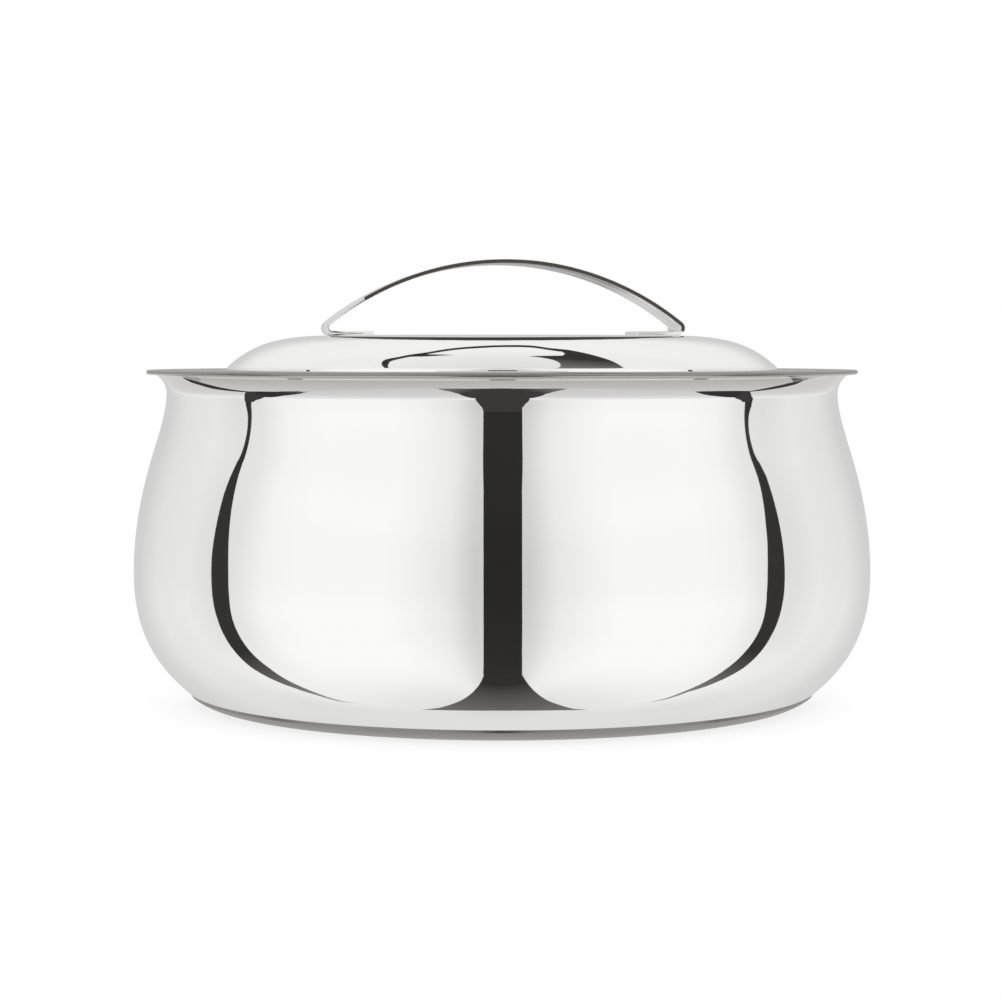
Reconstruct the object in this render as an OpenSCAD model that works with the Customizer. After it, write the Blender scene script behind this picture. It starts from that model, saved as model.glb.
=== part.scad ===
// Insulated casserole for flatbreads: a belly-shaped double-walled steel pot
// with a lift-off lid, each filled with rigid foam, and a strip handle on the lid.
// Millimetres. +Z is up, the origin is the centre of the base, and the handle runs along X.

/* [Sheet steel] */
// Thickness of the pressed steel sheets
sheet = 0.5; // [0.4:0.05:0.6]

/* [Pot, outside] */
// Width of the pot at its belly
belly_d = 250; // [244:1:256]
// Height of the widest point of the belly
belly_z = 44.5; // [42:0.5:47]
// Width at the shoulder, where the belly turns into the neck
shoulder_d = 236.4; // [234:0.2:239]
// Height of the shoulder
shoulder_z = 85.2; // [83:0.2:88]
// Lean of the wall at the shoulder, from upright
shoulder_lean = 17.4; // [14:0.2:21]
// Width of the neck under the rim
neck_d = 227.2; // [225:0.2:227.6]
// Height of the top of the rim, which is the height of the pot
rim_z = 113; // [112:0.5:116]
// Width of the rim
rim_d = 240.6; // [240.2:0.1:242]
// Height of the flare from the neck up to the rim
flare_h = 7; // [6:0.2:8]

/* [Pot, underneath] */
// Width of the pot where the base cover ends
base_edge_d = 211.4; // [210:0.2:213]
// Height at which the base cover ends
base_edge_z = 4; // [3.6:0.1:4.4]
// Slope of the wall at the base cover's edge, from level
base_edge_slope = 37.4; // [35:0.2:40]
// Inner width of the foot ring that the pot stands on
foot_inner_d = 168; // [166:1:172]
// Width of the raised panel inside the foot ring
base_panel_d = 156; // [148:1:156]
// Height of that panel off the ground
base_panel_z = 2; // [1.6:0.1:2.2]

/* [Pot, inside] */
// Width of the straight-walled well
well_d = 177; // [176:0.5:178]
// Height of the well's floor
well_floor_z = 14; // [12:0.5:20]
// Radius between the well's wall and its floor
well_corner_r = 22; // [16:1:26]
// Width of the recess in the rim that the lid sits in
seat_d = 189.2; // [188.6:0.2:190.4]
// Depth of that recess below the rim
seat_depth = 1.8; // [1.6:0.1:2.2]

/* [Lid] */
// Width of the lid
lid_d = 186.6; // [186:0.2:187.2]
// Height of the lid's flat top above the rim
lid_rise = 11.6; // [11:0.1:12.4]
// Width of the flat middle of the lid's top
lid_flat_d = 114; // [110:0.5:118]
// Slope of the lid where it meets its rolled edge, from level
lid_edge_slope = 42.5; // [40:0.5:45]
// Width of the plug under the lid
plug_d = 175.2; // [174.6:0.2:175.4]
// Depth of the plug below the rim
plug_depth = 13; // [11:0.5:16]

/* [Handle] */
// Height of the handle above the lid's top
handle_rise = 25.6; // [23:0.2:28]
// Radius of the handle's arch, on its outer face
handle_arch_r = 96; // [92:1:100]
// Width of the strip
handle_w = 25; // [18:1:30]
// Thickness of the strip
handle_t = 1.4; // [1.2:0.1:1.5]
// Radius of the folds at its feet, on the outer face
handle_fold_r = 2.5; // [2.2:0.1:2.8]
// Length of each foot that lies on the lid
handle_foot = 14; // [10:1:18]

/* [Foam filling] */
// Width of the holes that the foam is poured through
fill_hole_d = 12; // [10:1:16]
// Width of the plugs' heads
fill_head_d = 20; // [18:1:24]
// How far the plugs reach into the foam
fill_stem = 4; // [3:0.5:5]

/* [Hidden] */

// Steps along a curve and round a corner
CURVE = 12;
CORNER = 5;
// Sides of a turned solid in the preview
ROUND = 120;

belly_r = belly_d / 2;
neck_r = neck_d / 2;
well_r = well_d / 2;
seat_r = seat_d / 2;
lid_r = lid_d / 2;
plug_r = plug_d / 2;
fill_hole_r = fill_hole_d / 2;
fill_head_r = fill_head_d / 2;

// The rim is three sheets thick: the bowl's flange, the shell's lip, and the flange folded back
hem_nose_r = 1.5 * sheet;
// How far the fold reaches in under the lip, and how far it stays off the flare
hem_lap = 0.65;
hem_gap = 0.1;
lip_r = rim_d / 2 - hem_nose_r;
lip_in_r = lip_r - hem_lap;
lip_under_z = rim_z - 2 * sheet;
flare_z = lip_under_z - flare_h;

// The shell's own floor, which the base cover hides: a ring at its edge, raised in the middle
shell_ring_z = base_panel_z;
shell_ring_in_r = foot_inner_d / 2 - 2;
shell_floor_z = base_panel_z + 2;

// The base cover's turned-up edge meets the shell square on
cover_turn_r = (base_edge_z - sheet * cos(base_edge_slope)) / (1 - cos(base_edge_slope));

// Bends from the rim down into the well, with the seat between them
rim_bend_r = 0.8;
seat_bend_r = 0.6;
well_bend_r = 1.5;
seat_z = rim_z - seat_depth;

// The lid's edge is rolled in under the inner pressing, and stands upright for a short way
lid_z = rim_z + lid_rise;
lid_roll_r = 1;
lid_fold = 1.8;
lid_upright = 1.2;
lid_flange_r = lid_r - lid_roll_r;

// The lid's plug has a ring at its edge, raised in the middle
plug_z = rim_z - plug_depth;
plug_panel_z = plug_z + 2;
plug_panel_r = plug_r - 18.6;
plug_ring_r = plug_panel_r + 5;
plug_bend_r = 1;
plug_corner_r = 4;

// Heads of the fill plugs: the pot's stays clear of the base cover
fill_bevel = 0.4;
pot_head_gap = 0.3;
pot_head_t = shell_floor_z - base_panel_z - sheet - pot_head_gap;
lid_head_t = 1;

// How far each end of a curve keeps to its own way, from the base cover's edge up to the rim,
// and then over the lid
edge_pull = 17;
belly_pull_down = 17.3;
belly_pull_up = 13.6;
shoulder_pull_down = 14.3;
shoulder_pull_up = 5.4;
neck_pull_down = 5.6;
neck_pull_up = 4.3;
lip_pull = 1.9;
lid_edge_pull = 12;
lid_flat_pull = 18;

// ---- Outlines -------------------------------------------------------------------------------

function left_of(d) = [-d[1], d[0]];
function heading(a) = [cos(a), sin(a)];
function reversed(path) = [for (i = [len(path) - 1:-1:0]) path[i]];
function part_of(path, from, to) = [for (i = [from:to]) path[i]];

// An arc about c from angle a0 to a1
function arc(c, r, a0, a1, n = CORNER) = [for (i = [0:n]) c + r * heading(a0 + (a1 - a0) * i / n)];

// A curve that leaves p0 towards p1 and reaches p3 from p2
function curve(p0, p1, p2, p3, n = CURVE) = [
    for (i = [0:n])
        let (t = i / n, s = 1 - t)
            s * s * s * p0 + 3 * s * s * t * p1 + 3 * s * t * t * p2 + t * t * t * p3
];

// The soft step from a raised panel's edge out and down to the ring round it
function drop(from, to) =
    let (pull = [(to[0] - from[0]) / 2, 0])
        curve(from, from + pull, to - pull, to, 8);

// A path with the points that repeat the one before them left out
function clean(path) = [
    for (i = [0:len(path) - 1])
        if (i == 0 || norm(path[i] - path[max(i - 1, 0)]) > 0.001) path[i]
];

// Direction of the path's stretch i, and the sideways step that keeps both stretches at a point
// parallel to themselves
function stretch(path, i) = (path[i + 1] - path[i]) / norm(path[i + 1] - path[i]);
function side_step(path, i) =
    let (
        last = len(path) - 1,
        before = left_of(stretch(path, max(i - 1, 0))),
        after = left_of(stretch(path, min(i, last - 1)))
    )
        (before + after) / (1 + before * after);

// The path moved sideways by t: to its left, or to its right if t is negative
function beside(path, t) = [for (i = [0:len(path) - 1]) path[i] + t * side_step(path, i)];

module turned(points) {
    rotate_extrude($fn = ROUND) polygon(points);
}

// A sheet of thickness t whose one face follows the path
module pressed(path, t) {
    turned(concat(path, reversed(beside(path, t))));
}

// ---- Paths of the sheets --------------------------------------------------------------------

belly = [belly_r, belly_z];
shoulder = [shoulder_d / 2, shoulder_z];
shoulder_way = heading(90 + shoulder_lean);
neck = [neck_r, flare_z];
lip_in = [lip_in_r, lip_under_z];
base_edge = [base_edge_d / 2, base_edge_z];
base_way = heading(base_edge_slope);

// The shell's outer face, from its fill hole to its neck, and then on to its lip
shell_turn_r = (base_edge_z - shell_ring_z) / (1 - cos(base_edge_slope));
shell_turn = base_edge + shell_turn_r * left_of(base_way);
shell_wall = clean(concat(
    [[fill_hole_r, shell_floor_z]],
    drop([base_panel_d / 2, shell_floor_z], [shell_ring_in_r, shell_ring_z]),
    arc(shell_turn, shell_turn_r, -90, base_edge_slope - 90),
    curve(base_edge, base_edge + edge_pull * base_way, belly - [0, belly_pull_down], belly),
    curve(
        belly, belly + [0, belly_pull_up],
        shoulder - shoulder_pull_down * shoulder_way, shoulder
    ),
    curve(
        shoulder, shoulder + shoulder_pull_up * shoulder_way,
        neck - [0, neck_pull_down], neck
    )
));
shell_path = clean(concat(
    shell_wall,
    curve(neck, neck + [0, neck_pull_up], lip_in - [lip_pull, 0], lip_in, 8),
    [[lip_r, lip_under_z]]
));

// The bowl's face: the flange folded back under the rim, its nose, its top, and then the well
flange_path = concat(
    [[lip_in_r + hem_gap, rim_z - 2 * hem_nose_r]],
    arc([lip_r, rim_z - hem_nose_r], hem_nose_r, -90, 90, 8)
);
well_path = concat(
    arc([seat_r + rim_bend_r, rim_z - rim_bend_r], rim_bend_r, 90, 180),
    arc([seat_r - seat_bend_r, seat_z + seat_bend_r], seat_bend_r, 0, -90),
    arc([well_r + well_bend_r, seat_z - well_bend_r], well_bend_r, 90, 180),
    arc([well_r - well_corner_r, well_floor_z + well_corner_r], well_corner_r, 0, -90, 10),
    [[0, well_floor_z]]
);
bowl_path = concat(flange_path, well_path);

// The base cover's underside, from its centre to its edge
cover_turn = base_edge + (cover_turn_r - sheet) * left_of(base_way);
cover_path = concat(
    [[0, base_panel_z]],
    drop([base_panel_d / 2, base_panel_z], [foot_inner_d / 2, 0]),
    arc([cover_turn[0], cover_turn_r], cover_turn_r, -90, base_edge_slope - 90, 8)
);

// The lid's outer face, from the end of its rolled edge up to its centre
lid_roll_z = seat_z + lid_roll_r;
lid_bend_z = lid_roll_z + lid_upright;
lid_turn = [lid_flange_r, lid_bend_z] + lid_roll_r * heading(90 - lid_edge_slope);
lid_flat = [lid_flat_d / 2, lid_z];
lid_edge_path = concat(
    [[lid_flange_r - lid_fold, seat_z]],
    arc([lid_flange_r, lid_roll_z], lid_roll_r, -90, 0)
);
lid_dome_path = clean(concat(
    arc([lid_flange_r, lid_bend_z], lid_roll_r, 0, 90 - lid_edge_slope),
    curve(
        lid_turn, lid_turn + lid_edge_pull * heading(180 - lid_edge_slope),
        lid_flat + [lid_flat_pull, 0], lid_flat, 16
    ),
    [[0, lid_z]]
));
lid_path = concat(lid_edge_path, lid_dome_path);

// The face of the lid's inner pressing that looks down into the pot, from its flange inwards
lid_inner_path = concat(
    [[lid_flange_r, seat_z + sheet]],
    arc([plug_r + plug_bend_r, seat_z + sheet - plug_bend_r], plug_bend_r, 90, 180),
    arc([plug_r - plug_corner_r, plug_z + plug_corner_r], plug_corner_r, 0, -90),
    reversed(drop([plug_panel_r, plug_panel_z], [plug_ring_r, plug_z])),
    [[fill_hole_r, plug_panel_z]]
);

// ---- Sub-parts ------------------------------------------------------------------------------

module outer_shell() {
    color("gainsboro") pressed(shell_path, sheet);
}

module inner_bowl() {
    color("silver") pressed(bowl_path, sheet);
}

// The foam fills all between the shell and the bowl, up to the neck, and takes the plug's stem
module pot_foam() {
    shell_face = part_of(beside(shell_path, sheet), 0, len(shell_wall) - 1);
    bowl_face = part_of(beside(bowl_path, sheet), len(flange_path), len(bowl_path) - 1);
    stem_z = shell_floor_z + sheet + fill_stem;
    color("khaki") turned(concat(
        shell_face,
        [[neck_r - sheet, rim_z - sheet]],
        bowl_face,
        [[0, stem_z], [fill_hole_r, stem_z]]
    ));
}

module base_cover() {
    color("darkgray") pressed(cover_path, sheet);
}

// A plug with its head below and its stem up; its head bears on a sheet whose face is at z
module fill_plug(z, head_t) {
    color("white") turned([
        [0, z - head_t], [fill_head_r - fill_bevel, z - head_t],
        [fill_head_r, z - head_t + fill_bevel], [fill_head_r, z], [fill_hole_r, z],
        [fill_hole_r, z + sheet + fill_stem], [0, z + sheet + fill_stem]
    ]);
}

module pot_fill_plug() {
    fill_plug(shell_floor_z, pot_head_t);
}

module lid_outer() {
    color("gainsboro") pressed(lid_path, sheet);
}

module lid_inner() {
    color("silver") pressed(lid_inner_path, -sheet);
}

module lid_foam() {
    dome_face = part_of(beside(lid_path, sheet), len(lid_edge_path), len(lid_path) - 1);
    inner_face = reversed(beside(lid_inner_path, -sheet));
    stem_z = plug_panel_z + sheet + fill_stem;
    color("khaki") turned(concat(
        [[lid_r - sheet, lid_roll_z]],
        dome_face,
        [[0, stem_z], [fill_hole_r, stem_z]],
        inner_face
    ));
}

module lid_fill_plug() {
    fill_plug(plug_panel_z, lid_head_t);
}

// One strip, bent to an arch whose ends fold in under it and lie flat on the lid
module lid_handle() {
    arch = [0, lid_z + handle_rise - handle_arch_r];
    fold_z = lid_z + handle_fold_r;
    fold_x = sqrt(pow(handle_arch_r - handle_fold_r, 2) - pow(fold_z - arch[1], 2));
    fold_a = atan2(fold_z - arch[1], fold_x);
    right_half = concat(
        arc(arch, handle_arch_r, 90, fold_a, 16),
        part_of(arc([fold_x, fold_z], handle_fold_r, fold_a, -90, 8), 1, 8),
        [[fold_x - handle_foot, lid_z]]
    );
    left_half = [for (p = reversed(right_half)) [-p[0], p[1]]];
    strip = clean(concat(left_half, right_half));
    color("gainsboro") rotate([90, 0, 0])
        linear_extrude(height = handle_w, center = true)
            polygon(concat(strip, reversed(beside(strip, -handle_t))));
}

outer_shell();
inner_bowl();
pot_foam();
pot_fill_plug();
base_cover();
lid_outer();
lid_inner();
lid_foam();
lid_fill_plug();
lid_handle();
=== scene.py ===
"""Looks of an insulated casserole: a belly-shaped steel pot with a lift-off lid and a strip handle.

The steel sheets are drawn as outlines in millimetres, with the values that the solids have, and
spun round the pot's axis.
"""

import math

import bpy
from mathutils import Matrix, Vector


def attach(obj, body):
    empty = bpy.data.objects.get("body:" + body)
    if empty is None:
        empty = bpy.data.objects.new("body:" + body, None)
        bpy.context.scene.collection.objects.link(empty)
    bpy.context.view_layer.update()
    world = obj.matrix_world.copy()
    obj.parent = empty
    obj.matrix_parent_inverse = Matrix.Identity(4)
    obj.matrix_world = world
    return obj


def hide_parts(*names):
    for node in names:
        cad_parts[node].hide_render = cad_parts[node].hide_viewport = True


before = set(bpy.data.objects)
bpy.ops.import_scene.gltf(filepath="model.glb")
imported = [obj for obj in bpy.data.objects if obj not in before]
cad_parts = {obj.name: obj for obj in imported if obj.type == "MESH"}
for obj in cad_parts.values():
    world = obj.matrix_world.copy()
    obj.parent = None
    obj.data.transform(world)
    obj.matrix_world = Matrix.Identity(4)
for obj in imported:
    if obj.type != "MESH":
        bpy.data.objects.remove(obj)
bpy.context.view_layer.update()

MM = 0.001
SEAM = 4e-6  # points of a spun piece that lie closer than this, in metres, are one
TINY_STEP = 2e-6  # and points of an outline that follow each other as close as this

# ---- Sizes of the pot and lid, in millimetres ---------------------------------------------------

SHEET = 0.5
BELLY_R, BELLY_Z = 125.0, 44.5
SHOULDER_R, SHOULDER_Z, SHOULDER_LEAN = 118.2, 85.2, 17.4
NECK_R = 113.6
RIM_R, RIM_Z = 120.3, 113.0
FLARE_H = 7.0
# How far the shell's curves are pulled straight on at their two ends: from the base edge to the
# belly, from there to the shoulder, to the neck and to the lip
SHELL_PULLS = ((17, 17.3), (13.6, 14.3), (5.4, 5.6), (4.3, 1.9))
BASE_EDGE_R, BASE_EDGE_Z, BASE_EDGE_SLOPE = 105.7, 4.0, 37.4
FOOT_INNER_R = 84.0
BASE_PANEL_R, BASE_PANEL_Z = 78.0, 2.0
WELL_R, WELL_FLOOR_Z, WELL_CORNER_R = 88.5, 14.0, 22.0
SEAT_R, SEAT_Z = 94.6, 111.2
SEAT_EDGE_R, SEAT_CORNER_R, WELL_EDGE_R = 0.8, 0.6, 1.5
LID_R, LID_Z, LID_FLAT_R, LID_EDGE_SLOPE = 93.3, 124.6, 57.0, 42.5
LID_PULLS = (12, 18)
PLUG_R, PLUG_Z, PLUG_CORNER_R, PLUG_BEND_R = 87.6, 100.0, 4, 1
HOLE_R, HEAD_R, STEM = 6.0, 10.0, 4.0
HEAD_EDGE_R, STEM_STRAIGHT, STEM_TAPER = 0.35, 3, 0.6
HANDLE_TOP_Z, HANDLE_ARCH_R = 150.2, 96.0
HANDLE_W, HANDLE_T, HANDLE_FOLD_R, HANDLE_FOOT = 25.0, 1.4, 2.5, 14.0
HANDLE_EDGE_R = 0.22

# The three-sheet hem round the rim
NOSE_R = 1.5 * SHEET
LIP_R = RIM_R - NOSE_R
LIP_FLAT = 0.65
LIP_IN_R = LIP_R - LIP_FLAT
LIP_UNDER_Z = RIM_Z - 2 * SHEET
FLARE_Z = LIP_UNDER_Z - FLARE_H

# The shell's hidden floor, and the pressed panel in the lid's plug
PANEL_H = 2
SHELL_FLOOR_Z = BASE_PANEL_Z + PANEL_H
PLUG_PANEL_R, PLUG_PANEL_Z = PLUG_R - 18.6, PLUG_Z + PANEL_H
PLUG_PANEL_STEP = 5
POT_HEAD_T = SHELL_FLOOR_Z - BASE_PANEL_Z - SHEET - 0.3
LID_HEAD_T = 1.0

# The lid's rolled edge: its radius, its straight rise, and its reach under the inner pressing
ROLL_R, ROLL_RISE, ROLL_HEM = 1.0, 1.2, 1.8
LID_FLANGE_R = LID_R - ROLL_R

# Steps round the axis of everything that is spun
TURNS = 288
# Under these angles, in degrees, two faces are shaded as one: on what is spun, and on the strip
SPUN_SMOOTH, STRIP_SMOOTH = 40, 35
# And over this one the strip has an edge that is softened
STRIP_EDGE = 50

# ---- Outlines -----------------------------------------------------------------------------------


def point(r, z):
    return Vector((r, z))


def heading(degrees):
    return Vector((math.cos(math.radians(degrees)), math.sin(math.radians(degrees))))


def arc(centre, radius, start, end, steps):
    return [centre + radius * heading(start + (end - start) * i / steps) for i in range(steps + 1)]


def curve(p0, p1, p2, p3, steps):
    """A curve that leaves p0 towards p1 and reaches p3 from p2."""
    found = []
    for i in range(steps + 1):
        t = i / steps
        s = 1 - t
        found.append(s ** 3 * p0 + 3 * s * s * t * p1 + 3 * s * t * t * p2 + t ** 3 * p3)
    return found


def drop(start, end, steps):
    """The soft step from a raised panel's edge out and down to the ring round it."""
    pull = point((end.x - start.x) / 2, 0)
    return curve(start, start + pull, end - pull, end, steps)


def shell_outline():
    """The shell's outer face, from the hole in its floor, over the belly, to its lip."""
    up, outwards = point(0, 1), point(1, 0)
    edge = point(BASE_EDGE_R, BASE_EDGE_Z)
    # The places that the visible wall runs through, and its direction at each
    stations = (
        (edge, heading(BASE_EDGE_SLOPE)),
        (point(BELLY_R, BELLY_Z), up),
        (point(SHOULDER_R, SHOULDER_Z), heading(90 + SHOULDER_LEAN)),
        (point(NECK_R, FLARE_Z), up),
        (point(LIP_IN_R, LIP_UNDER_Z), outwards),
    )
    wall = []
    for (start, leave), (end, arrive), pulls, steps in zip(
        stations, stations[1:], SHELL_PULLS, (32, 26, 24, 18)
    ):
        wall += curve(start, start + pulls[0] * leave, end - pulls[1] * arrive, end, steps)
    turn_r = (BASE_EDGE_Z - BASE_PANEL_Z) / (1 - math.cos(math.radians(BASE_EDGE_SLOPE)))
    turn = edge + turn_r * heading(BASE_EDGE_SLOPE + 90)
    return (
        [point(HOLE_R, SHELL_FLOOR_Z)]
        + drop(point(BASE_PANEL_R, SHELL_FLOOR_Z), point(FOOT_INNER_R - 2, BASE_PANEL_Z), 6)
        + arc(turn, turn_r, -90, BASE_EDGE_SLOPE - 90, 6)
        + wall
        + [point(LIP_R, LIP_UNDER_Z)]
    )


def bowl_outline():
    """The bowl's face, from the fold under the rim, over the flange and the seat, into the well.

    The points along its straight runs only keep the faces short.
    """
    return (
        [point(LIP_IN_R + 0.1, RIM_Z - 2 * NOSE_R)]
        + arc(point(LIP_R, RIM_Z - NOSE_R), NOSE_R, -90, 90, 14)
        + [point(110, RIM_Z), point(100, RIM_Z)]
        + arc(point(SEAT_R + SEAT_EDGE_R, RIM_Z - SEAT_EDGE_R), SEAT_EDGE_R, 90, 180, 6)
        + arc(point(SEAT_R - SEAT_CORNER_R, SEAT_Z + SEAT_CORNER_R), SEAT_CORNER_R, 0, -90, 6)
        + arc(point(WELL_R + WELL_EDGE_R, SEAT_Z - WELL_EDGE_R), WELL_EDGE_R, 90, 180, 8)
        + [point(WELL_R, 90), point(WELL_R, 63)]
        + arc(
            point(WELL_R - WELL_CORNER_R, WELL_FLOOR_Z + WELL_CORNER_R), WELL_CORNER_R, 0, -90, 16
        )
        + [point(40, WELL_FLOOR_Z), point(12, WELL_FLOOR_Z), point(0, WELL_FLOOR_Z)]
    )


def base_outline():
    """The base cover's underside, from its centre, over the foot ring, up to its edge."""
    turn_r = (BASE_EDGE_Z - SHEET * math.cos(math.radians(BASE_EDGE_SLOPE))) / (
        1 - math.cos(math.radians(BASE_EDGE_SLOPE))
    )
    turn = point(BASE_EDGE_R, BASE_EDGE_Z) + (turn_r - SHEET) * heading(BASE_EDGE_SLOPE + 90)
    return (
        [point(0, BASE_PANEL_Z), point(14, BASE_PANEL_Z), point(44, BASE_PANEL_Z)]
        + drop(point(BASE_PANEL_R, BASE_PANEL_Z), point(FOOT_INNER_R, 0), 12)
        + arc(point(turn.x, turn_r), turn_r, -90, BASE_EDGE_SLOPE - 90, 14)
    )


def lid_outline():
    """The lid's outer face, from the end of its rolled edge, up and over to its centre."""
    roll_z = SEAT_Z + ROLL_R
    bend_z = roll_z + ROLL_RISE
    turn = point(LID_FLANGE_R, bend_z) + ROLL_R * heading(90 - LID_EDGE_SLOPE)
    flat = point(LID_FLAT_R, LID_Z)
    leave = turn + LID_PULLS[0] * heading(180 - LID_EDGE_SLOPE)
    return (
        [point(LID_FLANGE_R - ROLL_HEM, SEAT_Z)]
        + arc(point(LID_FLANGE_R, roll_z), ROLL_R, -90, 0, 8)
        + arc(point(LID_FLANGE_R, bend_z), ROLL_R, 0, 90 - LID_EDGE_SLOPE, 6)
        + curve(turn, leave, flat + point(LID_PULLS[1], 0), flat, 48)
        + [point(38, LID_Z), point(12, LID_Z), point(0, LID_Z)]
    )


def lid_inner_outline():
    """The inner pressing's face that looks down into the pot, from its fill hole to its flange."""
    upper = SEAT_Z + SHEET
    return (
        [point(HOLE_R, PLUG_PANEL_Z), point(30, PLUG_PANEL_Z)]
        + drop(point(PLUG_PANEL_R, PLUG_PANEL_Z), point(PLUG_PANEL_R + PLUG_PANEL_STEP, PLUG_Z), 10)
        + arc(point(PLUG_R - PLUG_CORNER_R, PLUG_Z + PLUG_CORNER_R), PLUG_CORNER_R, -90, 0, 10)
        + arc(point(PLUG_R + PLUG_BEND_R, upper - PLUG_BEND_R), PLUG_BEND_R, 180, 90, 6)
        + [point(LID_FLANGE_R, upper)]
    )


def fill_plug_outline(face_z, head_t):
    """A fill plug with a dished head below face_z and a tapered stem above it."""
    low = face_z - head_t
    stem_top_z = face_z + SHEET + STEM
    return (
        [point(0, low + HEAD_EDGE_R), point(3, low + HEAD_EDGE_R)]
        + curve(point(5, low + 0.3), point(6, low + 0.2), point(7, low), point(8, low), 6)
        + arc(point(HEAD_R - HEAD_EDGE_R, low + HEAD_EDGE_R), HEAD_EDGE_R, -90, 0, 5)
        + [point(HEAD_R, face_z), point(HOLE_R, face_z), point(HOLE_R, face_z + STEM_STRAIGHT)]
        + [point(HOLE_R - STEM_TAPER, stem_top_z), point(0, stem_top_z)]
    )


def handle_outline():
    """The handle's outer face along its length, from the end of one foot to that of the other."""
    arch = point(0, HANDLE_TOP_Z - HANDLE_ARCH_R)
    fold_z = LID_Z + HANDLE_FOLD_R
    fold_x = math.sqrt((HANDLE_ARCH_R - HANDLE_FOLD_R) ** 2 - (fold_z - arch.y) ** 2)
    angle = math.degrees(math.atan2(fold_z - arch.y, fold_x))
    right = (
        arc(arch, HANDLE_ARCH_R, 90, angle, 40)
        + arc(point(fold_x, fold_z), HANDLE_FOLD_R, angle, -90, 16)
        + [point(fold_x - HANDLE_FOOT, LID_Z)]
    )
    left = [point(-p.x, p.y) for p in reversed(right)]
    return left + right


# ---- Making the pieces --------------------------------------------------------------------------


def new_piece(name):
    """A small plane, the start of a piece, left in edit mode with all of it selected."""
    bpy.ops.object.select_all(action="DESELECT")
    bpy.ops.mesh.primitive_plane_add(size=MM, location=(0, 0, 0))
    piece = bpy.context.object
    piece.name = piece.data.name = name
    bpy.ops.object.mode_set(mode="EDIT")
    bpy.ops.mesh.select_all(action="SELECT")
    return piece


def upright(outline, y=0.0):
    """An outline's points set up in the X-Z plane at y."""
    return [Vector((p.x, y, p.y)) for p in outline]


def draw(points):
    """Merges the start to one point and pulls it along the points."""
    line = [p * MM for p in points]
    line = [p for i, p in enumerate(line) if i == 0 or (p - line[i - 1]).length > TINY_STEP]
    bpy.ops.mesh.merge(type="CENTER")
    bpy.ops.transform.translate(value=line[0])
    for before, after in zip(line, line[1:]):
        bpy.ops.mesh.extrude_region_move(TRANSFORM_OT_translate={"value": after - before})
    bpy.ops.mesh.select_all(action="SELECT")


def face_away(piece, probe, direction):
    """Points the faces outwards, judged by the face that lies nearest to probe."""
    bpy.ops.mesh.select_all(action="SELECT")
    bpy.ops.mesh.normals_make_consistent(inside=False)
    bpy.ops.object.mode_set(mode="OBJECT")
    nearest = min(piece.data.polygons, key=lambda face: (face.center - probe).length)
    if nearest.normal.dot(direction) < 0:
        bpy.ops.object.mode_set(mode="EDIT")
        bpy.ops.mesh.select_all(action="SELECT")
        bpy.ops.mesh.flip_normals()
        bpy.ops.object.mode_set(mode="OBJECT")


def finish_with(piece, *modifiers):
    """Applies modifiers given as (kind, settings) one after the other."""
    for kind, settings in modifiers:
        modifier = piece.modifiers.new(kind.title(), kind)
        for name, value in settings.items():
            setattr(modifier, name, value)
        bpy.ops.object.modifier_apply(modifier=modifier.name)


def spin_round():
    """Spins the drawn line round the pot's axis and closes the seam."""
    bpy.ops.mesh.spin(steps=TURNS, angle=2 * math.pi, center=(0, 0, 0), axis=(0, 0, 1))
    bpy.ops.mesh.select_all(action="SELECT")
    bpy.ops.mesh.remove_doubles(threshold=SEAM)


def spun_sheet(name, outline, probe, direction):
    """A sheet of steel whose visible face follows the outline; probe and direction tell which."""
    piece = new_piece(name)
    draw(upright(outline))
    spin_round()
    face_away(piece, Vector(probe) * MM, Vector(direction))
    finish_with(
        piece,
        ("SOLIDIFY", dict(thickness=SHEET * MM, offset=-1.0, use_even_offset=True)),
    )
    bpy.ops.object.shade_smooth_by_angle(angle=math.radians(SPUN_SMOOTH))
    return piece


def spun_solid(name, outline):
    """A closed turned piece, its outline running from the axis back to the axis."""
    piece = new_piece(name)
    draw(upright(outline))
    spin_round()
    bpy.ops.mesh.normals_make_consistent(inside=False)
    bpy.ops.object.mode_set(mode="OBJECT")
    bpy.ops.object.shade_smooth_by_angle(angle=math.radians(SPUN_SMOOTH))
    return piece


def bent_handle(name):
    """One strip, extruded across from its outline, given its thickness and softened edges."""
    piece = new_piece(name)
    draw(upright(handle_outline(), y=-HANDLE_W / 2))
    bpy.ops.mesh.extrude_region_move(TRANSFORM_OT_translate={"value": (0, HANDLE_W * MM, 0)})
    face_away(piece, Vector((0, 0, HANDLE_TOP_Z)) * MM, Vector((0, 0, 1)))
    finish_with(
        piece,
        ("SOLIDIFY", dict(thickness=HANDLE_T * MM, offset=-1.0, use_even_offset=True)),
        ("BEVEL", dict(width=HANDLE_EDGE_R * MM, segments=3, limit_method="ANGLE",
                       angle_limit=math.radians(STRIP_EDGE))),
    )
    bpy.ops.object.shade_smooth_by_angle(angle=math.radians(STRIP_SMOOTH))
    return piece


# ---- Materials ----------------------------------------------------------------------------------


def colour(code):
    """The linear colour of an sRGB hex code."""
    parts = [int(code[i:i + 2], 16) / 255 for i in (1, 3, 5)]
    return [c / 12.92 if c <= 0.04045 else ((c + 0.055) / 1.055) ** 2.4 for c in parts] + [1.0]


def add_node(tree, kind, inputs=None, **settings):
    """A node with its settings, and its sockets given a value or another node's output."""
    node = tree.nodes.new(kind)
    for name, value in settings.items():
        setattr(node, name, value)
    for socket, value in (inputs or {}).items():
        if isinstance(value, bpy.types.NodeSocket):
            tree.links.new(value, node.inputs[socket])
        else:
            node.inputs[socket].default_value = value
    return node


def cleared_tree(owner):
    """The node tree of a material or world, emptied."""
    owner.use_nodes = True
    owner.node_tree.nodes.clear()
    return owner.node_tree


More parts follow.
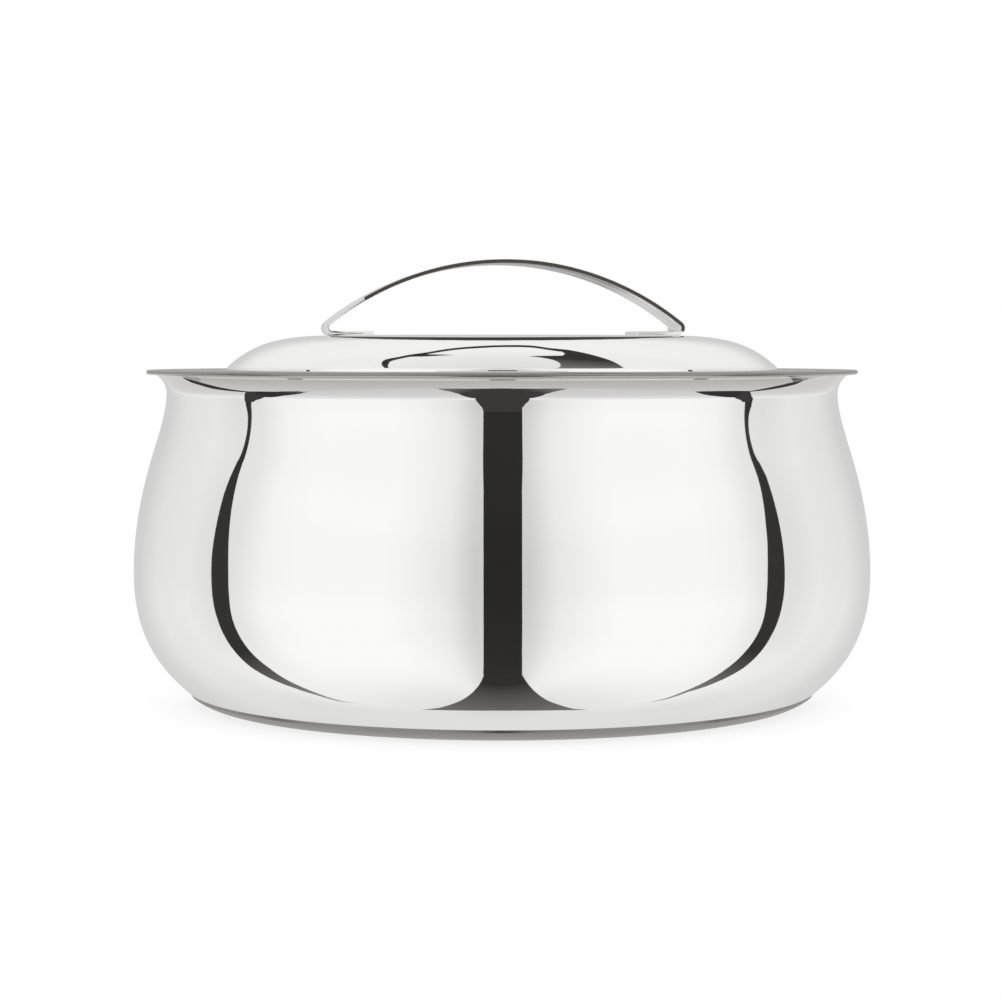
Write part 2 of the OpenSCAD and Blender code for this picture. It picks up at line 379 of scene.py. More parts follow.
def new_material(name, base, metallic, roughness, **sockets):
    """A material with one Principled shader; returns it, its tree and the shader."""
    material = bpy.data.materials.new(name)
    tree = cleared_tree(material)
    shader = add_node(tree, "ShaderNodeBsdfPrincipled")
    shader.inputs["Base Color"].default_value = colour(base)
    shader.inputs["Metallic"].default_value = metallic
    shader.inputs["Roughness"].default_value = roughness
    for socket, value in sockets.items():
        shader.inputs[socket.replace("_", " ")].default_value = value
    output = add_node(tree, "ShaderNodeOutputMaterial")
    tree.links.new(shader.outputs[0], output.inputs["Surface"])
    return material, tree, shader


def place_on(tree):
    """The place of a point on its object."""
    return add_node(tree, "ShaderNodeTexCoord").outputs["Object"]


def noise(tree, scale, detail, place=None):
    """A cloudy pattern of the given scale per metre."""
    return add_node(tree, "ShaderNodeTexNoise", {
        "Vector": place or place_on(tree), "Scale": scale, "Detail": detail,
    }).outputs["Fac"]


def vary_roughness(tree, shader, pattern, first, second, **limits):
    """Lets the roughness follow a pattern, from the first value to the second."""
    rough = add_node(tree, "ShaderNodeMapRange", {
        "Value": pattern, "To Min": first, "To Max": second,
        **{name.replace("_", " "): value for name, value in limits.items()},
    })
    tree.links.new(rough.outputs[0], shader.inputs["Roughness"])


def vary_colour(tree, shader, pattern, first, second):
    """Lets the colour follow a pattern, from the first hex code to the second."""
    tone = add_node(tree, "ShaderNodeMix", {
        "Factor": pattern, 6: colour(first), 7: colour(second),
    }, data_type="RGBA")
    tree.links.new(tone.outputs[2], shader.inputs["Base Color"])


def raise_bumps(tree, shader, pattern, strength, height_mm):
    """Lets the surface rise with a pattern."""
    bump = add_node(tree, "ShaderNodeBump", {
        "Height": pattern, "Strength": strength, "Distance": height_mm * MM,
    })
    tree.links.new(bump.outputs[0], shader.inputs["Normal"])


def spun_lines(tree, spacing_mm, breakup):
    """Fine lines round the axis: a noise along the distance from it and along the height."""
    place = place_on(tree)
    flat = add_node(tree, "ShaderNodeVectorMath", {0: place, 1: (1, 1, 0)}, operation="MULTIPLY")
    radius = add_node(tree, "ShaderNodeVectorMath", {0: flat.outputs[0]}, operation="LENGTH")
    height = add_node(tree, "ShaderNodeSeparateXYZ", {0: place}).outputs["Z"]
    drift = add_node(tree, "ShaderNodeMath", {0: noise(tree, 22.0, 2.0, place), 1: breakup * MM},
                     operation="MULTIPLY")
    lane = add_node(tree, "ShaderNodeCombineXYZ", {
        "X": radius.outputs["Value"], "Y": height, "Z": drift.outputs[0],
    })
    return add_node(tree, "ShaderNodeTexNoise", {
        "Vector": lane.outputs[0], "Scale": 1 / (spacing_mm * MM), "Detail": 3.0, "Roughness": 0.6,
    }).outputs["Fac"]


def mirror_steel():
    """Stainless steel 304, spun and buffed to a mirror. The eye gets a crisp image of the studio,
    a faint haze where the mop passed, and the last trace of lines round the axis."""
    material, tree, shader = new_material("Stainless steel, mirror-buffed", "#F3F3F2", 1.0, 0.03)
    vary_roughness(tree, shader, noise(tree, 30.0, 3.0), 0.02, 0.035, From_Min=0.35, From_Max=0.7)
    raise_bumps(tree, shader, spun_lines(tree, 0.9, 6.0), 0.02, 0.02)
    return material


def satin_steel(name, darkest, lightest):
    """Stainless steel, pressed and brushed in the lathe. The eye gets a grey sheen with fine
    lines round the axis. Real ones lie some 0.1 mm apart; these are at 0.5 mm so that they show."""
    material, tree, shader = new_material(name, lightest, 1.0, 0.3, Anisotropic=0.4)
    lines = spun_lines(tree, 0.5, 2.0)
    vary_roughness(tree, shader, lines, 0.24, 0.36)
    vary_colour(tree, shader, lines, darkest, lightest)
    raise_bumps(tree, shader, lines, 0.15, 0.03)
    tangent = add_node(tree, "ShaderNodeTangent", direction_type="RADIAL", axis="Z")
    tree.links.new(tangent.outputs[0], shader.inputs["Tangent"])
    return material


def rolled_steel():
    """Stainless steel as the rolling mill left it, where no tool has been since. The eye gets a
    soft light grey without lines."""
    material, tree, shader = new_material("Stainless steel, cold-rolled", "#DAD9D6", 1.0, 0.4)
    vary_roughness(tree, shader, noise(tree, 120.0, 3.0), 0.34, 0.46)
    return material


def inner_mirror_with_painted_shade():
    """The strip's inner face. Its dark middle is painted shade, chosen for the photograph's tones;
    its bright ends are the plain mirror. How the real strip is finished isn't known. The eye gets a
    mirror that dulls towards the crown, where painted shade darkens it."""
    material, tree, shader = new_material("Stainless steel, mirror with painted shade", "#F3F3F2", 1.0, 0.05)
    along = add_node(tree, "ShaderNodeSeparateXYZ", {0: place_on(tree)}).outputs["X"]
    reach = add_node(tree, "ShaderNodeMath", {0: along}, operation="ABSOLUTE").outputs[0]
    share = add_node(tree, "ShaderNodeMapRange", {
        "Value": reach, "From Min": 34 * MM, "From Max": 47 * MM,
    }, interpolation_type="SMOOTHSTEP").outputs[0]
    vary_colour(tree, shader, share, "#4B4946", "#F3F3F2")
    vary_roughness(tree, shader, share, 0.12, 0.04)
    return material


def sheared_edge():
    """The strip's cut edge. The eye gets a dull dark grey, mottled by the marks of the shear."""
    material, tree, shader = new_material("Stainless steel, sheared edge", "#565350", 1.0, 0.42)
    marks = noise(tree, 900.0, 2.0)
    vary_roughness(tree, shader, marks, 0.32, 0.55)
    raise_bumps(tree, shader, marks, 0.2, 0.05)
    return material


def rigid_foam():
    """Polyurethane foam, poured and set. The eye gets a matt cream with cells 0.9 mm apart."""
    material, tree, shader = new_material("Rigid polyurethane foam, poured", "#E2CF98", 0.0, 0.9)
    place = place_on(tree)
    cells = add_node(tree, "ShaderNodeTexVoronoi", {"Vector": place, "Scale": 1 / (0.9 * MM)})
    vary_colour(tree, shader, noise(tree, 60.0, 3.0, place), "#D9C27F", "#EBDDB0")
    raise_bumps(tree, shader, cells.outputs["Distance"], 0.5, 0.3)
    return material


def moulded_plug():
    """Polyethylene, injection-moulded. The eye gets a waxy off-white with a fine eroded grain."""
    material, tree, shader = new_material("Polyethylene, moulded", "#E9E8E3", 0.0, 0.42)
    grain = noise(tree, 1 / (0.4 * MM), 2.0)
    vary_roughness(tree, shader, grain, 0.36, 0.5)
    raise_bumps(tree, shader, grain, 0.2, 0.04)
    return material


# ---- The object ---------------------------------------------------------------------------------

mirror = mirror_steel()
satin = satin_steel("Stainless steel, satin-brushed", "#B4B2AF", "#C9C7C4")
# Darker than the satin only as painted shade: the base cover, and the bowl outside its seat
satin_with_painted_shade = satin_steel("Stainless steel, satin with painted shade", "#8B8986", "#9B9996")
rolled = rolled_steel()
# The strip's inner face, a mirror with painted shade at its crown
painted_shade_inner = inner_mirror_with_painted_shade()
edge = sheared_edge()
foam = rigid_foam()
plastic = moulded_plug()

shell = spun_sheet("pot_shell", shell_outline(), (BELLY_R, 0, BELLY_Z), (1, 0, 0))
bowl = spun_sheet("pot_liner", bowl_outline(), (105, 0, RIM_Z), (0, 0, 1))
base = spun_sheet("pot_base", base_outline(), (95, 0, 0), (0, 0, -1))
dome = spun_sheet("lid_dome", lid_outline(), (30, 0, LID_Z), (0, 0, 1))
inside = spun_sheet("lid_lining", lid_inner_outline(), (PLUG_R, 0, 106), (1, 0, 0))
handle = bent_handle("lid_grip")
pot_plug = spun_solid("pot_plug", fill_plug_outline(SHELL_FLOOR_Z, POT_HEAD_T))
lid_plug = spun_solid("lid_plug", fill_plug_outline(PLUG_PANEL_Z, LID_HEAD_T))

for piece, node, body, slot, finish in (
    (shell, "outer_shell", "pot", "polished_steel", mirror),
    (bowl, "inner_bowl", "pot", "satin_steel", satin),
    # The base cover's darker satin is painted shade where it faces the floor
    (base, "base_cover", "pot", "satin_steel", satin_with_painted_shade),
    (pot_plug, "pot_fill_plug", "pot", "plug_plastic", plastic),
    (dome, "lid_outer", "lid", "polished_steel", mirror),
    (inside, "lid_inner", "lid", "satin_steel", satin),
    (lid_plug, "lid_fill_plug", "lid", "plug_plastic", plastic),
    (handle, "lid_handle", "lid", "polished_steel", mirror),
):
    piece.data.materials.clear()
    piece.data.materials.append(finish)
    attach(piece, body)
    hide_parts(node)

# Outside the seat the bowl gets the satin darkened as painted shade, and the fold's underside the
# steel as it was rolled. Both are guesses that give the photograph's tones
PAINTED_SHADE_FROM_R, FOLD_FROM_R, UNDERSIDE = SEAT_R + 0.9, LIP_IN_R - 1, -0.45
bowl.data.materials.append(satin_with_painted_shade)
bowl.data.materials.append(rolled)
for face in bowl.data.polygons:
    reach = face.center.xy.length / MM
    if reach > PAINTED_SHADE_FROM_R:
        under_fold = reach > FOLD_FROM_R and face.normal.z < UNDERSIDE
        face.material_index = 2 if under_fold else 1

# The strip's edges are sheared, but for the feet and the left end: those look bright in the
# photograph, which may be a reflection. Its inner face gets painted shade, darkest at the crown
FEET_TOP_Z, BRIGHT_END_X = LID_Z + 1.5, -48
handle.data.materials.append(edge)
handle.data.materials.append(painted_shade_inner)
arch_centre = Vector((0, 0, HANDLE_TOP_Z - HANDLE_ARCH_R)) * MM
for face in handle.data.polygons:
    if face.center.z <= FEET_TOP_Z * MM:
        continue
    sideways = abs(face.normal.y)
    if sideways > 0.95:
        if face.center.x > BRIGHT_END_X * MM:
            face.material_index = 1
    elif sideways < 0.1 and face.normal.dot(face.center - arch_centre) < 0:
        face.material_index = 2

for node in ("pot_foam", "lid_foam"):
    foam_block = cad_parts[node]
    foam_block.data.materials.clear()
    foam_block.data.materials.append(foam)

# ---- Camera -------------------------------------------------------------------------------------

CAMERA_AZIMUTH = math.radians(-7)
CAMERA_DISTANCE, CAMERA_HEIGHT = 0.9, 0.120
CAMERA_TILT, CAMERA_PAN = math.radians(90 - 3.29), math.radians(0.033)
FOCAL_PX, FRAME_PX, SENSOR_MM = 2635.0, 1001.0, 36.0

camera_data = bpy.data.cameras.new("camera")
camera_data.sensor_width = SENSOR_MM
camera_data.lens = FOCAL_PX / FRAME_PX * SENSOR_MM
camera = bpy.data.objects.new("camera", camera_data)
bpy.context.scene.collection.objects.link(camera)
camera.location = (
    CAMERA_DISTANCE * math.sin(CAMERA_AZIMUTH),
    -CAMERA_DISTANCE * math.cos(CAMERA_AZIMUTH),
    CAMERA_HEIGHT,
)
camera.rotation_euler = (CAMERA_TILT, 0, CAMERA_AZIMUTH + CAMERA_PAN)
bpy.context.scene.camera = camera

# ---- Studio -------------------------------------------------------------------------------------

# The share of the light that the mirror steel gives back; the tent's tones are meant as seen in it
STEEL_GIVES_BACK = 0.93
# How bright the tent is level with the pot, as (degrees off the camera's side, sRGB level). These
# levels and the next follow middle tones measured on the photograph, corrected by comparing
TENT_LEVEL = (
    (0, 210), (8, 210), (11, 220), (16, 237), (26, 248), (36, 255), (62, 255), (76, 250),
    (88, 232), (98, 228), (112, 237), (132, 231), (150, 212), (165, 206), (180, 204),
)
# And away from the level, as (degrees up, sRGB level)
TENT_ABOVE = (
    (-90, 218), (-75, 231), (-60, 243), (-45, 251), (-30, 254), (0, 212), (10, 222), (18, 232),
    (26, 239), (45, 244), (60, 242), (72, 233), (90, 222),
)


def studio_world():
    """A white tent all round, greyer behind and below, and plain white to the eye."""
    world = bpy.data.worlds.new("studio")
    bpy.context.scene.world = world
    tree = cleared_tree(world)

    def calc(operation, a, b=0.0):
        return add_node(tree, "ShaderNodeMath", {0: a, 1: b}, operation=operation).outputs[0]

    def fade(value, low, high):
        """0 where value is under low, 1 over high, smooth between."""
        return add_node(tree, "ShaderNodeMapRange", {
            "Value": value, "From Min": low, "From Max": high,
        }, interpolation_type="SMOOTHSTEP").outputs[0]

    def ramp(degrees, stops):
        """A grey that follows (degrees, sRGB level) stops over half a turn."""
        start = stops[0][0]
        share = calc("DIVIDE", calc("SUBTRACT", degrees, start), 180.0)
        node = add_node(tree, "ShaderNodeValToRGB", {"Fac": share})
        elements = node.color_ramp.elements
        while len(elements) < len(stops):
            elements.new(0.5)
        for element, (place, level) in zip(elements, stops):
            element.position = (place - start) / 180
            grey = colour("#%02X%02X%02X" % (level, level, level))[0] / STEEL_GIVES_BACK
            element.color = (grey, grey, grey, 1)
        return node.outputs[0]

    def blend(factor, a, b):
        return calc("ADD", calc("MULTIPLY", a, calc("SUBTRACT", 1.0, factor)),
                    calc("MULTIPLY", b, factor))

    way = add_node(tree, "ShaderNodeTexCoord").outputs["Generated"]
    turned = add_node(tree, "ShaderNodeVectorRotate", {
        "Vector": way, "Axis": (0, 0, 1), "Angle": -CAMERA_AZIMUTH,
    })
    axes = add_node(tree, "ShaderNodeSeparateXYZ", {0: turned.outputs[0]}).outputs
    bearing = calc("ARCTAN2", axes["X"], calc("MULTIPLY", axes["Y"], -1.0))
    off_front = calc("MULTIPLY", calc("ABSOLUTE", bearing), 180 / math.pi)
    height = calc("MULTIPLY", calc("ARCSINE", axes["Z"]), 180 / math.pi)

    level = ramp(off_front, TENT_LEVEL)
    above = ramp(height, TENT_ABOVE)
    # Steep up or down the second tone takes over, less so right in front; behind, already from
    # a little over the level
    steep = calc("MULTIPLY", fade(calc("ABSOLUTE", height), 8.0, 70.0),
                 calc("ADD", calc("MULTIPLY", fade(off_front, 8.0, 32.0), 0.7), 0.3))
    behind = fade(off_front, 110.0, 150.0)
    share = calc("MAXIMUM", steep, calc("MULTIPLY", behind, fade(height, 6.0, 26.0)))
    # Low down on the far side it is a little darker
    low_behind = calc("MULTIPLY", fade(off_front, 95.0, 125.0),
                      calc("MULTIPLY", fade(height, -8.0, -30.0), fade(height, -85.0, -50.0)))
    dimmed = calc("MULTIPLY", above, calc("SUBTRACT", 1.0, calc("MULTIPLY", low_behind, 0.2)))
    # And just over the level all round
    near_level = fade(calc("ABSOLUTE", calc("SUBTRACT", height, 5.0)), 16.0, 4.0)
    white = calc("MULTIPLY", blend(share, level, dimmed),
                 calc("SUBTRACT", 1.0, calc("MULTIPLY", near_level, 0.035)))

    tent_light = add_node(tree, "ShaderNodeBackground", {"Color": white, "Strength": 1.0})
    plain = add_node(tree, "ShaderNodeBackground", {"Color": (1, 1, 1, 1), "Strength": 1.0})
    eye = add_node(tree, "ShaderNodeLightPath").outputs["Is Camera Ray"]
    mixed = add_node(tree, "ShaderNodeMixShader", {
        0: eye, 1: tent_light.outputs[0], 2: plain.outputs[0],
    })
    output = add_node(tree, "ShaderNodeOutputWorld")
    tree.links.new(mixed.outputs[0], output.inputs["Surface"])


# The white sheet's radius in metres. Within the first distance from the axis it takes the shadow,
# with a glow of its own in this share that keeps the shadow pale, and from the second it only glows
FLOOR_R, SHADOW_FROM_R, SHADOW_TO_R = 3.0, 0.096, 0.13
GLOW_SHARE = 0.8


def studio_floor():
    """A white sheet under the pot that takes its soft shadow and runs out into the white."""
    bpy.ops.object.select_all(action="DESELECT")
    bpy.ops.mesh.primitive_circle_add(
        vertices=96, radius=FLOOR_R, fill_type="NGON", location=(0, 0, 0),
    )
    floor = bpy.context.object
    floor.name = "studio_floor"
    material = bpy.data.materials.new("White sheet")
    tree = cleared_tree(material)
    matt = add_node(tree, "ShaderNodeBsdfDiffuse", {"Color": colour("#FDFDFD")})
    lit = add_node(tree, "ShaderNodeEmission", {"Color": (1, 1, 1, 1), "Strength": 1.0})
    far = add_node(tree, "ShaderNodeVectorMath", {0: place_on(tree)}, operation="LENGTH")
    glow = add_node(tree, "ShaderNodeMapRange", {
        "Value": far.outputs["Value"], "From Min": SHADOW_FROM_R, "From Max": SHADOW_TO_R,
        "To Min": GLOW_SHARE, "To Max": 1.0,
    }, interpolation_type="SMOOTHSTEP")
    mixed = add_node(tree, "ShaderNodeMixShader", {
        0: glow.outputs[0], 1: matt.outputs[0], 2: lit.outputs[0],
    })
    output = add_node(tree, "ShaderNodeOutputMaterial")
    tree.links.new(mixed.outputs[0], output.inputs["Surface"])
    floor.data.materials.append(material)
    floor.visible_glossy = False


# ---- Flags: glowing cards, seen only in the mirror steel, that paint reflections into it --------

# All are given in millimetres in a frame turned to face the camera: X right, Y away, Z up. Their
# outlines were traced back from the edges of the reflections in the photograph.
CAMERA_TURN = Matrix.Rotation(CAMERA_AZIMUTH, 3, "Z")
UP, DOWN = (0, 0, 1), (0, 0, -1)

# How far from the axis the long black cards stand, and the heights of the cards that lie flat
CARD_OFF = 160
LOW_Z, APRON_Z, NECK_Z, LINE_Z, HIGH_Z = -28, 99.5, 100, 127, 500

# The long black cards: (x, z) in front of the pot, and (y, z) on its left and its right
FRONT_CARD = (
    (-10.8, -28), (-9.9, -10), (-9.3, 8), (-8.9, 25), (-8.8, 44), (-8.9, 63), (-9.3, 83),
    (-9.7, 99), (-10.2, 108), (-10.6, 116), (-10.7, 130), (11.6, 130), (11.5, 116), (11.1, 108),
    (10.5, 99), (10.1, 83), (9.7, 63), (9.6, 44), (9.8, 25), (10.1, 8), (10.8, -10), (11.6, -28),
)
LEFT_CARD = (
    (-72.6, -240), (-68.7, -188), (-72, -160), (-74, -143), (-74.2, -124), (-75, -105),
    (-74.4, -88), (-74.5, -43), (-76.7, -17), (-77.7, 2), (-77.8, 17), (-77.3, 30), (-76.4, 45),
    (-75.2, 59), (-74.4, 77), (-73.3, 95), (-73.6, 104), (-74.6, 113), (-76.5, 119), (-77.5, 124),
    (-80.5, 124), (-80, 114), (-80.7, 106.5), (-82.4, 97.4), (-84.3, 88), (-86.4, 79), (-88.3, 70),
    (-90.1, 61), (-91.4, 51.5), (-92.2, 36), (-91.8, 17), (-91.9, 0), (-91.8, -21), (-91.5, -50),
    (-87.9, -82), (-84.9, -113), (-82.2, -133), (-79.4, -151), (-73.6, -186),
)
RIGHT_CARD = (
    (-78, -240), (-77, -188), (-80.5, -160), (-84.5, -136), (-83.3, -111), (-83, -47), (-84.8, -19),
    (-85.7, 1), (-85.3, 17), (-84.7, 30), (-83.8, 41), (-82.6, 60), (-81.6, 78), (-80.6, 97),
    (-80.2, 106), (-81.4, 114), (-83.5, 119), (-85, 124), (-88.2, 124), (-88, 116), (-88.2, 108),
    (-89.6, 99), (-91.6, 90), (-93.8, 81), (-95.5, 71), (-97.2, 62), (-98.6, 52), (-99.6, 38),
    (-99.2, 16), (-99.4, -1), (-99.8, -23), (-98.9, -54), (-96.1, -88), (-92.6, -121),
    (-89.7, -142), (-82, -186),
)
# Under the level of the foot: the front card runs on towards the pot and spreads, (x, y)
LOW_CARD = (
    (-10.4, -160), (-11.5, -147), (-13.9, -135.3), (-17.6, -125.5), (-22, -118.9), (-26.5, -113.9),
    (-34.1, -109), (-30.2, -110.1), (-21.8, -112), (-11.3, -113.5), (0, -114.2), (11.7, -113.5),
    (22.2, -111.9), (30.6, -109.8), (36.2, -107.9), (30.2, -111.6), (25.2, -117.1), (20.2, -124.1),
    (16, -135.1), (13.4, -146.8), (11.6, -160),
)
# Level with the neck, where only the flare looks down on them, (x, y)
NECK_FRONT_CARD = (
    (-23, -119), (-12, -120.6), (0, -121.3), (12, -120.6), (23, -119), (18.8, -123), (16.7, -127),
    (16.4, -140), (16.4, -159.5), (-16.2, -159.5), (-16.2, -140), (-16.4, -127), (-18.6, -123),
)
NECK_LEFT_CARD = (
    (-113.8, -30), (-113.6, -40), (-111.6, -50), (-110.6, -58), (-108.2, -66), (-104.2, -76),
    (-101, -79.5), (-115, -78.3), (-128, -76.8), (-159.5, -75.5), (-159.5, -99), (-128, -100),
    (-105, -99.5), (-80, -102.2), (-71, -102.6), (-88, -91), (-99, -80), (-102.8, -70.5),
    (-105.4, -62), (-107.3, -55), (-108.9, -49), (-106, -49.5), (-107.5, -40), (-110, -32),
)
NECK_RIGHT_CARD = (
    (107.6, -45), (106.9, -56), (104.6, -64), (102, -71.5), (99, -79), (96.5, -83.6), (113, -83),
    (129, -83.4), (159.5, -84), (159.5, -102), (129, -103), (92.5, -103.6), (72.5, -102.5),
    (84, -93), (95, -83), (97, -76.5), (99.6, -69.5), (101.8, -63), (103.4, -58.2), (99, -58),
    (103, -50),
)
# And close to the neck at three bearings, where those shapes narrow, (along, z)
NEAR_NECK_R = 118.8
NEAR_NECK_CARDS = {
    0: (
        (-10, 104.95), (-9.5, 104.85), (-8.5, 104.7), (-8.1, 104.55), (-7.6, 104.3), (-6.5, 103.6),
        (-6.2, 103.1), (-6.1, 102.7), (6.6, 102.7), (6.6, 103.1), (6.7, 103.6), (7.7, 104.3),
        (8.4, 104.55), (8.9, 104.7), (9.6, 104.85), (10, 104.95),
    ),
    -45: (
        (-5.9, 104.87), (-5.9, 104.7), (-5.8, 104.5), (-5.2, 104.16), (-0.9, 104.18), (0.7, 104.52),
        (3.4, 104.68), (6.3, 104.87),
    ),
    45: (
        (-10.1, 104.87), (-7, 104.73), (-4.4, 104.56), (-3.3, 104.22), (0.6, 104.2), (1.1, 104.54),
        (1.3, 104.7), (1.3, 104.87),
    ),
}
# The grey shelf that the flare looks down on: (bearing from the camera's side, reach from the axis)
SHELF_INNER_R, SHELF_BACK_R = 114.6, 120
NECK_SHELF = (
    (-105, 119), (-90, 118), (-73, 117.6), (-66, 119.8), (-60, 121.8), (-55, 124.6), (-51, 127.2),
    (-44, 126.6), (-37, 127.4), (-30, 124.5), (-20, 122), (-11, 121.2), (0, 121.3), (11, 121.2),
    (20, 122), (28, 123.5), (35, 125.2), (42, 125.3), (49, 126.1), (54, 122), (60, 119.6),
    (66, 118.2), (90, 118), (105, 119),
)
# Just over the lid, (x, y): the dark line that runs from foot to foot under the handle
LINE_CARD = (
    (-57.7, -12.1), (-54.9, -19.5), (-52.2, -25.4), (-47.8, -33.3), (-43.2, -39.6), (-38.1, -46),
    (-33, -50.3), (-26.4, -54.7), (-19.9, -57.8), (-10.2, -60.7), (0, -61.8), (12.2, -60.3),
    (21.9, -56.8), (31.7, -51.1), (38.4, -45.3), (43.6, -39.3), (48.9, -31.3), (53.4, -23.5),
    (57.7, -12.1), (57.3, -20.6), (52.9, -33.3), (48.5, -42.2), (43.3, -49.8), (38.2, -55.2),
    (31.6, -60.2), (21.8, -65.4), (12.2, -68.4), (0, -69.8), (-10.2, -68.9), (-19.9, -66.2),
    (-26.3, -63.4), (-32.9, -59.5), (-37.9, -55.7), (-42.9, -50.4), (-47.4, -44.4), (-51.7, -36.2),
    (-54.4, -29.5), (-57.3, -20.6),
)
# High above the lid, (x, y): a thin bent frame, and a broad curtain on its right
HIGH_FRAME = (
    (-206, -20), (-196, 20), (-188, 62), (-172, 96), (-146, 112), (-124, 133), (-98, 155),
    (-76, 194), (-48, 250), (-24, 290), (-2, 318), (20, 325), (31, 311), (43, 275), (57, 232),
    (78, 205), (73, 156), (59, 181), (45, 214), (32, 243), (20, 251), (-2, 249), (-25, 225),
    (-50, 198), (-79, 151), (-100, 122), (-63, 92), (-108, 90), (-128, 100), (-150, 83), (-168, 68),
    (-180, 38), (-187, 16), (-199, -24),
)
HIGH_CURTAIN = (
    (57, 232), (78, 205), (100, 164), (138, 104), (172, 61), (197, 26), (214, -10), (240, -120),
    (175, -170), (92, -150), (92, -19), (80, 18), (59, 47), (36, 67), (63, 79), (83, 90), (82, 124),
    (75, 157),
)


# Two sides of an outline meet in a sharp corner when the cosine of its turn is under this
SHARP_UNDER = 0.75


def flowing(corners):
    """The same outline, curved between its points except where it turns a sharp corner."""
    corners = [Vector(corner) for corner in corners]
    count = len(corners)
    sides = [(corners[(i + 1) % count] - corners[i]).normalized() for i in range(count)]
    ways = [
        (before + after).normalized() if before.dot(after) > SHARP_UNDER else None
        for before, after in zip([sides[-1]] + sides, sides)
    ]
    found = []
    for i, start in enumerate(corners):
        end = corners[(i + 1) % count]
        length = (end - start).length
        leave = (ways[i] or sides[i]) * length / 3
        arrive = (ways[(i + 1) % count] or sides[i]) * length / 3
        found += curve(start, start + leave, end - arrive, end, 4)[:-1]
    return found


def flag(name, corners, facing, shades, centre, reach):
    """A glowing card that only the steel sees, and only from its front: a painted reflection. Its
    shade goes from the first to the second between two distances from its centre."""
    card = new_piece(name)
    draw([CAMERA_TURN @ Vector(corner) for corner in corners])
    bpy.ops.mesh.edge_face_add()
    face_away(card, Vector(corners[0]) * MM, CAMERA_TURN @ Vector(facing))
    material = bpy.data.materials.new(name + " card")
    tree = cleared_tree(material)
    away = add_node(tree, "ShaderNodeVectorMath", {
        0: place_on(tree), 1: (CAMERA_TURN @ Vector(centre)) * MM,
    }, operation="DISTANCE")
    share = add_node(tree, "ShaderNodeMapRange", {
        "Value": away.outputs["Value"], "From Min": reach[0] * MM, "From Max": reach[1] * MM,
    })
    tone = add_node(tree, "ShaderNodeMix", {
        "Factor": share.outputs[0], 6: colour(shades[0]), 7: colour(shades[1]),
    }, data_type="RGBA")
    back = add_node(tree, "ShaderNodeNewGeometry").outputs["Backfacing"]
    lit = add_node(tree, "ShaderNodeEmission", {"Color": tone.outputs[2], "Strength": 1.0})
    mixed = add_node(tree, "ShaderNodeMixShader", {
        0: back, 1: lit.outputs[0], 2: add_node(tree, "ShaderNodeBsdfTransparent").outputs[0],
    })
    output = add_node(tree, "ShaderNodeOutputMaterial")
    tree.links.new(mixed.outputs[0], output.inputs["Surface"])
    card.data.materials.append(material)
    card.visible_camera = card.visible_diffuse = card.visible_shadow = False
    card.visible_transmission = card.visible_volume_scatter = False


def at_bearing(bearing, reach, z):
    """The place at a bearing from the camera's side, a reach from the axis and a height."""
    turn = math.radians(bearing)
    return (reach * math.sin(turn), -reach * math.cos(turn), z)


def shelf_sector(reaches):
    """A stretch of the shelf, between its reach and the neck."""
    first, last = reaches[0][0], reaches[-1][0]
    inner = [last + (first - last) * i / 24 for i in range(25)]
    return (
        [at_bearing(bearing, reach, NECK_Z) for bearing, reach in reaches]
        + [at_bearing(bearing, SHELF_INNER_R, NECK_Z) for bearing in inner]
    )


def apron_ring(inner, outer):
    """A pale ring outside the shelf and just under it, open at the back."""
    turns = [-105 + 210 * i / 48 for i in range(49)]
    return [
        at_bearing(turn, reach, APRON_Z)
        for reach, way in ((inner, turns), (outer, reversed(turns))) for turn in way
    ]


def laid_flat(shape, z):
    """A card's (x, y) outline at height z."""
    return [(x, y, z) for x, y in shape]


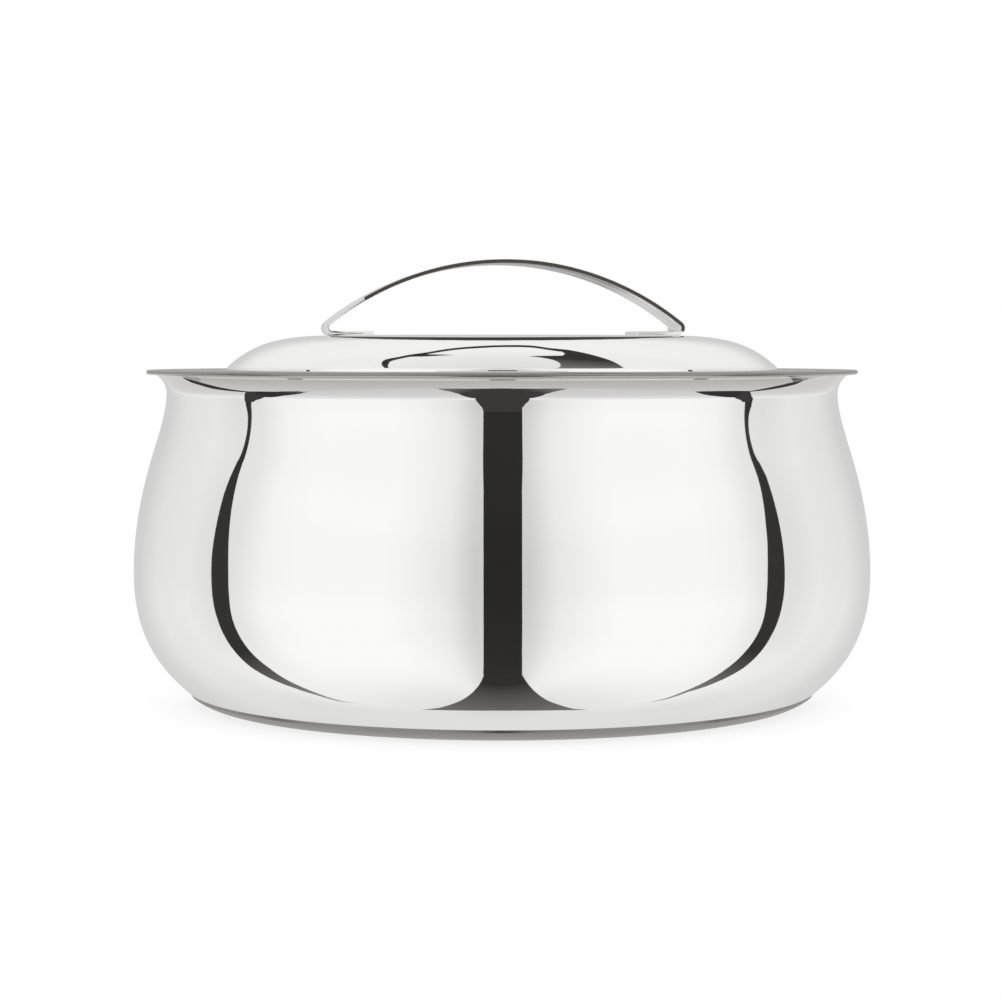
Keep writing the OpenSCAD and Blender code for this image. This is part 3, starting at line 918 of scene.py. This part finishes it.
def studio_flags():
    """Puts up all the cards."""
    black, grey = ("#333231", "#3A3938"), ("#BEBCB9", "#D8D7D5")
    fading = ("#363534", "#A6A4A2")

    # In front of the belly, to its left and right, and under the level of the foot
    flag("front_card", [(x, -CARD_OFF, z) for x, z in FRONT_CARD], (0, 1, 0),
         ("#2A2928", "#323130"), (0, -CARD_OFF, 60), (0, 90))
    flag("left_card", [(-CARD_OFF, y, z) for y, z in LEFT_CARD], (1, 0, 0),
         fading, (-CARD_OFF, -85, 50), (70, 260))
    flag("right_card", [(CARD_OFF, y, z) for y, z in RIGHT_CARD], (-1, 0, 0),
         fading, (CARD_OFF, -88, 50), (70, 260))
    flag("low_card", flowing(laid_flat(LOW_CARD, LOW_Z)), UP,
         ("#333231", "#7C7A78"), (0, -165, LOW_Z), (20, 65))

    # Round the neck
    flag("neck_front_card", laid_flat(NECK_FRONT_CARD, NECK_Z), UP,
         ("#403F3D", "#9C9A98"), (0, -145, NECK_Z), (24, 40))
    for bearing, shape in NEAR_NECK_CARDS.items():
        out = Vector(at_bearing(bearing, 1, 0))
        along = Vector((-out.y, out.x, 0))
        corners = [NEAR_NECK_R * out + place * along + Vector((0, 0, z)) for place, z in shape]
        flag("near_neck_card", corners, -out,
             ("#3D3C3A", "#3D3C3A"), (0, 0, NECK_Z), (0, 90))
    flag("neck_left_card", laid_flat(NECK_LEFT_CARD, NECK_Z), UP,
         black, (-110, -85, NECK_Z), (0, 60))
    flag("neck_right_card", laid_flat(NECK_RIGHT_CARD, NECK_Z), UP,
         black, (105, -90, NECK_Z), (0, 60))
    middle = len(NECK_SHELF) // 2
    for name, reaches in (
        ("shelf_left", NECK_SHELF[:middle + 1]),
        ("shelf_right", NECK_SHELF[middle:]),
        ("shelf_back", [(bearing, SHELF_BACK_R) for bearing in range(105, 256, 10)]),
    ):
        flag(name, shelf_sector(reaches), UP, grey, (0, 0, NECK_Z), (117, 127))
    flag("apron", apron_ring(117, 165), UP,
         ("#D4D3D2", "#EDEDEC"), (0, 0, APRON_Z), (123, 165))
    flag("far_apron", apron_ring(165, 420), UP,
         ("#EDEDEC", "#FFFFFF"), (0, 0, APRON_Z), (165, 420))

    # Keeps the long front card out of the rim's satin edge
    guard = [(-36, 110.8), (36, 110.8), (36, 114.5), (-36, 114.5)]
    flag("edge_guard", [(x, -123, z) for x, z in guard], (0, 1, 0),
         ("#CFCECD", "#CFCECD"), (0, -123, 112), (0, 90))

    # Over the lid
    flag("line_card", laid_flat(LINE_CARD, LINE_Z), DOWN,
         ("#403F3D", "#5C5A58"), (0, -65, LINE_Z), (20, 60))
    flag("high_frame", flowing(laid_flat(HIGH_FRAME, HIGH_Z)), DOWN,
         black, (0, 150, HIGH_Z), (0, 300))
    flag("high_curtain", flowing(laid_flat(HIGH_CURTAIN, HIGH_Z)), DOWN,
         ("#383736", "#9E9C9A"), (90, 210, HIGH_Z), (160, 350))


studio_world()
studio_floor()
studio_flags()
bpy.context.scene.view_settings.view_transform = "Standard"
